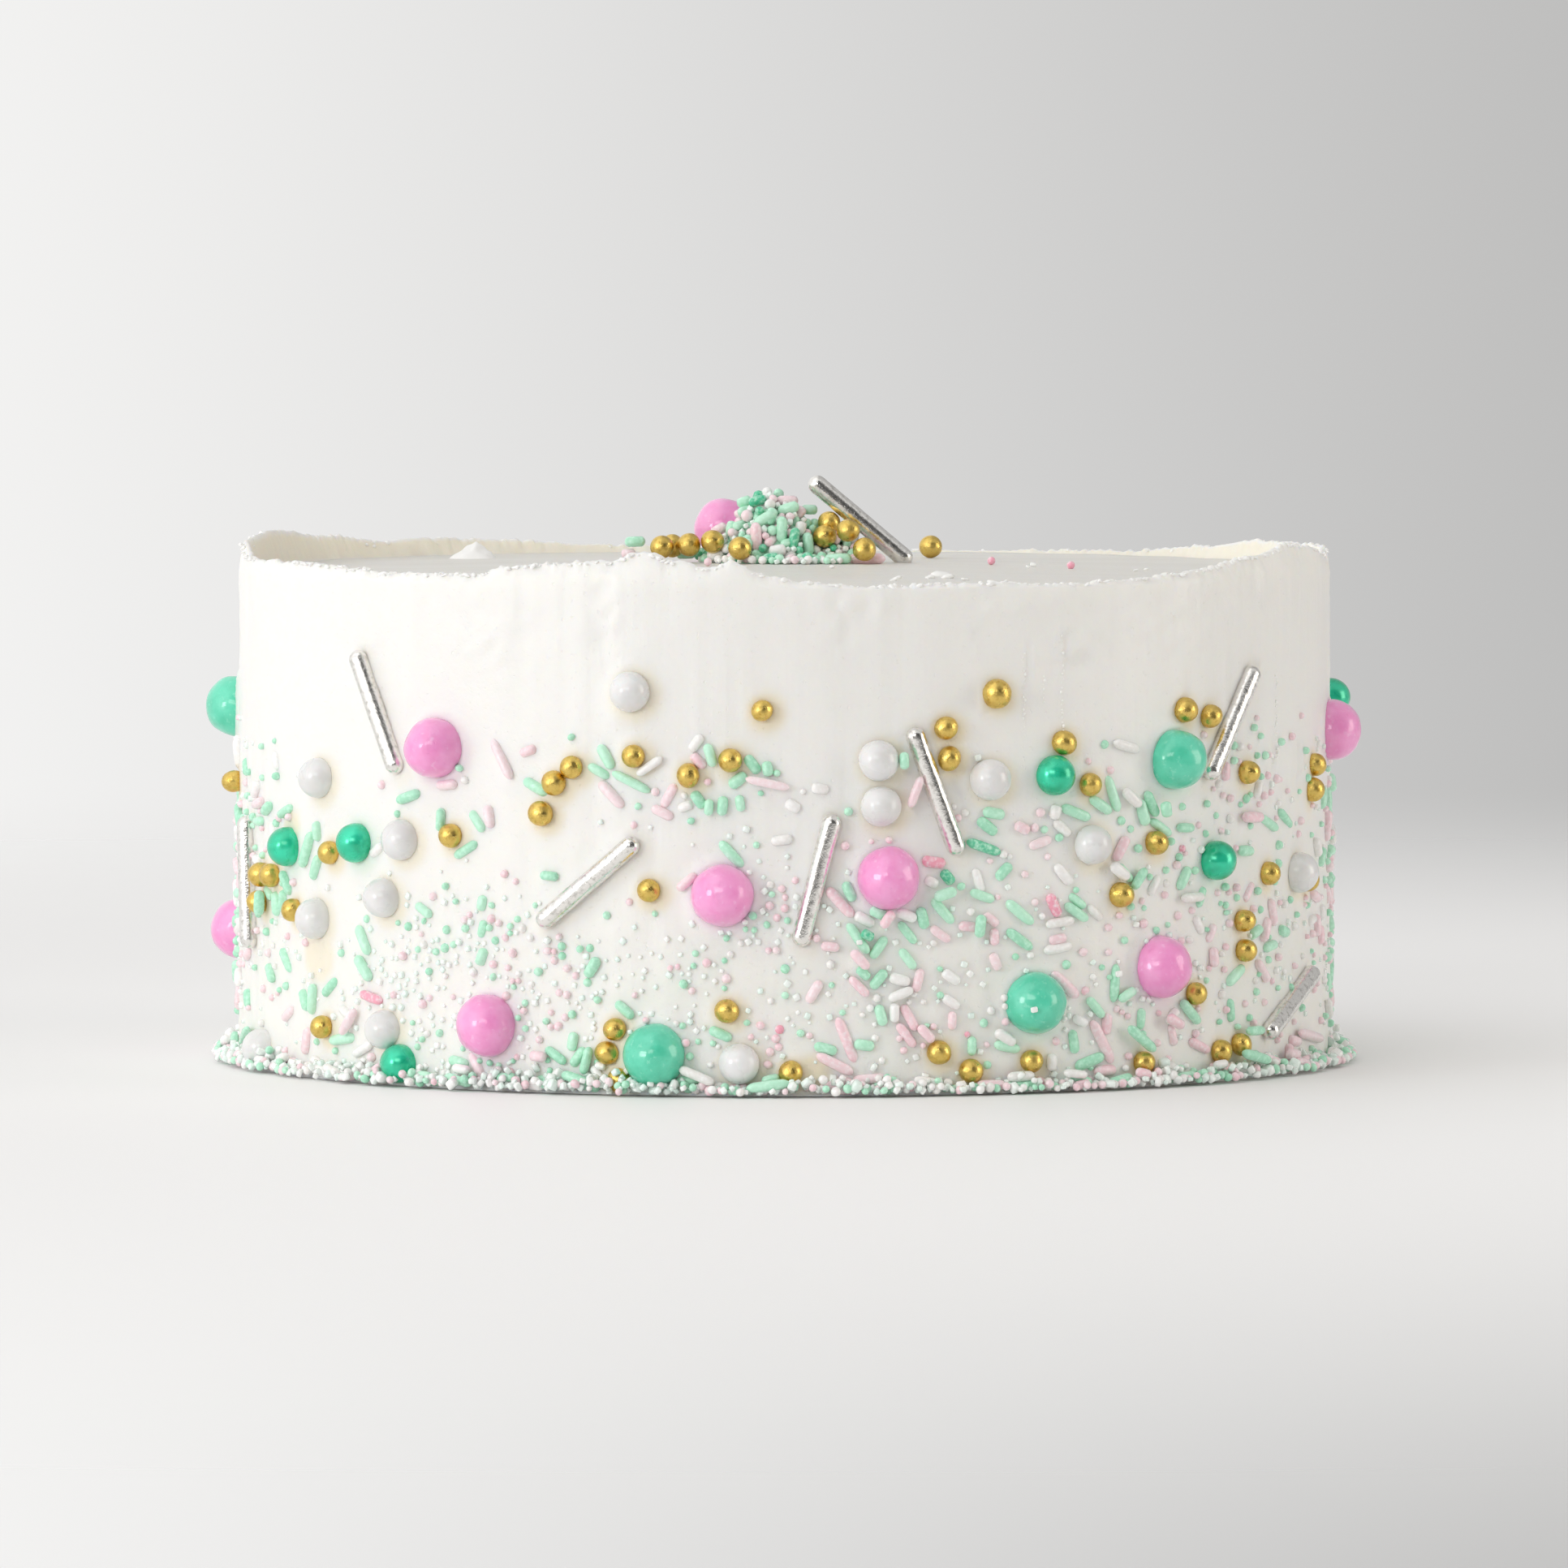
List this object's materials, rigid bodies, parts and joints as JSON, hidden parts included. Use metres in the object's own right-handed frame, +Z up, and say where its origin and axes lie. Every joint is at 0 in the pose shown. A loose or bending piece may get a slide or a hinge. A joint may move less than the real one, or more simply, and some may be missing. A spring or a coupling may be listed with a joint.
{
  "type": "layer cake",
  "caption": "Round white-iced layer cake with a torn rim around its flat top, a small heap of sprinkles in the middle, and candy balls, metallic rods and beads in its side.",
  "frame": {"origin": "middle of the flat foot, on the surface that the cake stands on", "axes": "+Z up along the cake's upright middle, -Y towards the shown side, +X to the right as that side is faced"},
  "size_m": [0.2061, 0.2064, 0.1038],
  "materials": {
    "icing": "soft, slightly greasy whipped buttercream, near white",
    "pink_candy": "satin sugar shell, bubblegum pink",
    "mint_candy": "satin sugar shell, mint green",
    "silver_shell": "thin edible silver leaf over sugar, softly dented",
    "sprinkle_mix": "mixed small sprinkles, satin",
    "gold_shell": "thin edible gold leaf over sugar, softly dented",
    "pearl_shell": "white sugar pearl with a pearly lustre",
    "green_pearl_shell": "green sugar pearl with a pearly lustre",
    "clear_sugar": "coarse translucent sanding sugar"
  },
  "bodies": {
    "root": {"heap_ball_01": "pink_candy", "heap_rod_01": "silver_shell", "iced_cake": "icing", "mint_ball_01": "mint_candy", "mint_ball_02": "mint_candy", "mint_ball_03": "mint_candy", "mint_ball_04": "mint_candy", "mint_ball_05": "mint_candy", "mint_ball_06": "mint_candy", "mint_ball_07": "mint_candy", "pink_ball_01": "pink_candy", "pink_ball_02": "pink_candy", "pink_ball_03": "pink_candy", "pink_ball_04": "pink_candy", "pink_ball_05": "pink_candy", "pink_ball_06": "pink_candy", "pink_ball_07": "pink_candy", "pink_ball_08": "pink_candy", "pink_ball_09": "pink_candy", "pink_ball_10": "pink_candy", "pink_ball_11": "pink_candy", "pink_ball_12": "pink_candy", "silver_rod_01": "silver_shell", "silver_rod_02": "silver_shell", "silver_rod_03": "silver_shell", "silver_rod_04": "silver_shell", "silver_rod_05": "silver_shell", "silver_rod_06": "silver_shell", "silver_rod_07": "silver_shell", "silver_rod_08": "silver_shell", "silver_rod_09": "silver_shell", "silver_rod_10": "silver_shell", "silver_rod_11": "silver_shell", "silver_rod_12": "silver_shell", "silver_rod_13": "silver_shell", "silver_rod_14": "silver_shell", "sprinkle_heap": "sprinkle_mix"}
  },
  "joints": []
}
